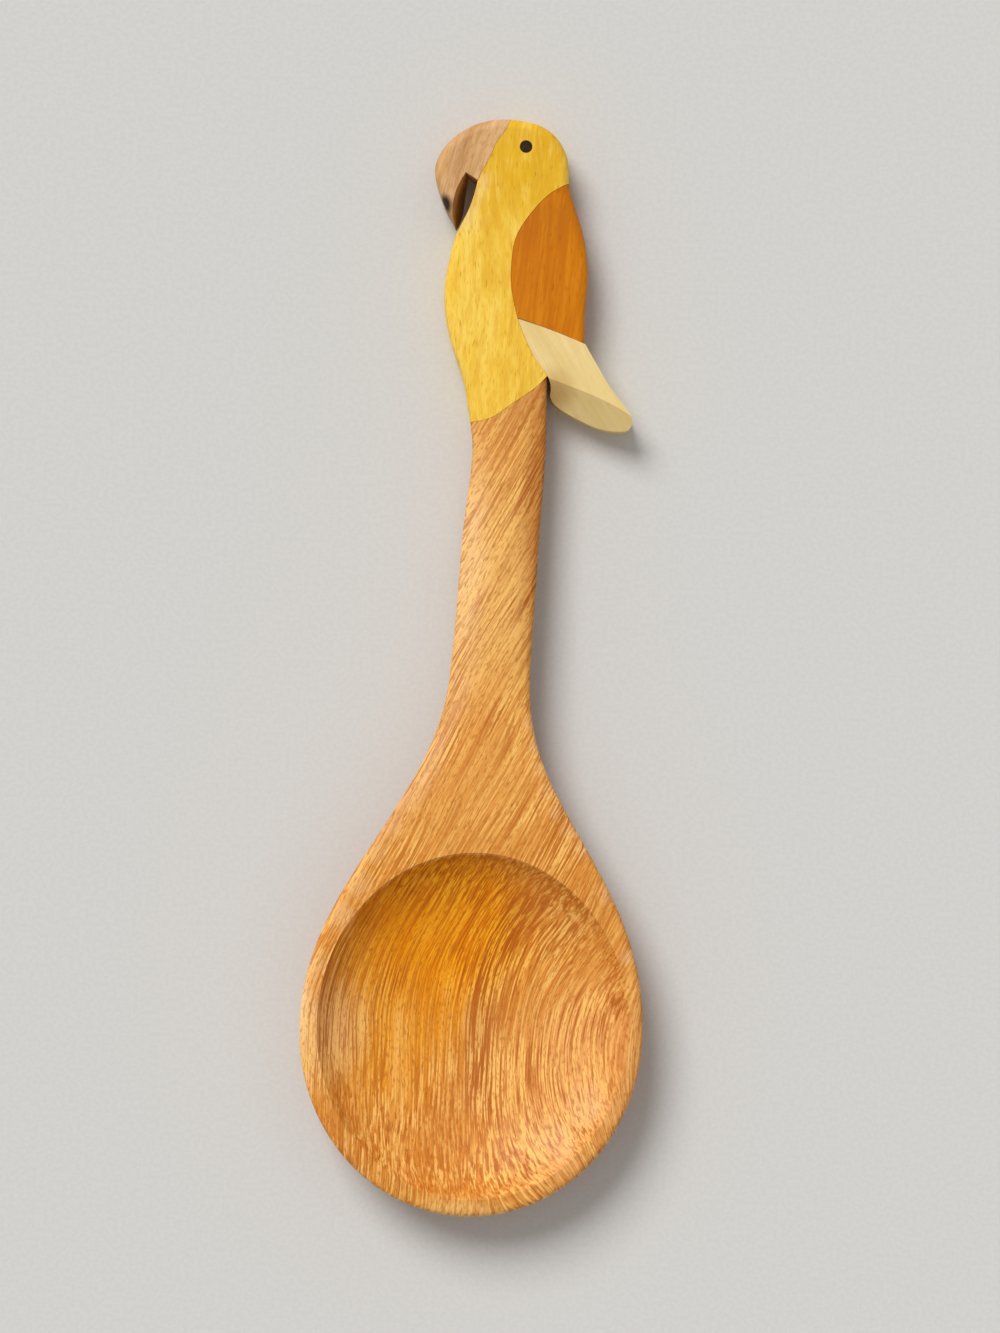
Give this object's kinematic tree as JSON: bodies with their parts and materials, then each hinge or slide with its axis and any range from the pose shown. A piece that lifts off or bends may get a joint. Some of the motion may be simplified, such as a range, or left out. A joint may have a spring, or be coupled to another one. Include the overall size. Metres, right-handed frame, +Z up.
{
  "type": "wooden spoon",
  "caption": "Carved wooden spoon with a round bowl and a slim handle that ends in a perched bird joined from four woods.",
  "frame": {"origin": "middle of the bowl's flat sole", "axes": "+Y along the spoon to the bird's head, +X to the wing's side, +Z up out of the bowl's hollow"},
  "size_m": [0.0936, 0.2994, 0.02],
  "materials": {
    "spoon_wood": "honey-brown hardwood, oiled, fine open grain",
    "body_wood": "yellow hardwood, oiled, straight fine grain",
    "beak_wood": "pinkish tan hardwood, oiled, fine grain",
    "wing_wood": "orange hardwood, oiled, streaked",
    "tail_wood": "cream hardwood, oiled, very fine grain",
    "eye_wood": "near-black hardwood peg, end grain",
    "dowel_wood": "plain pale hardwood dowel, unfinished"
  },
  "bodies": {
    "root": {"bowl_and_handle": "spoon_wood", "bird_body": "body_wood", "beak": "beak_wood", "wing": "wing_wood", "tail": "tail_wood", "eye_peg": "eye_wood", "handle_dowel": "dowel_wood", "tail_dowel": "dowel_wood", "beak_dowel": "dowel_wood"}
  },
  "joints": []
}
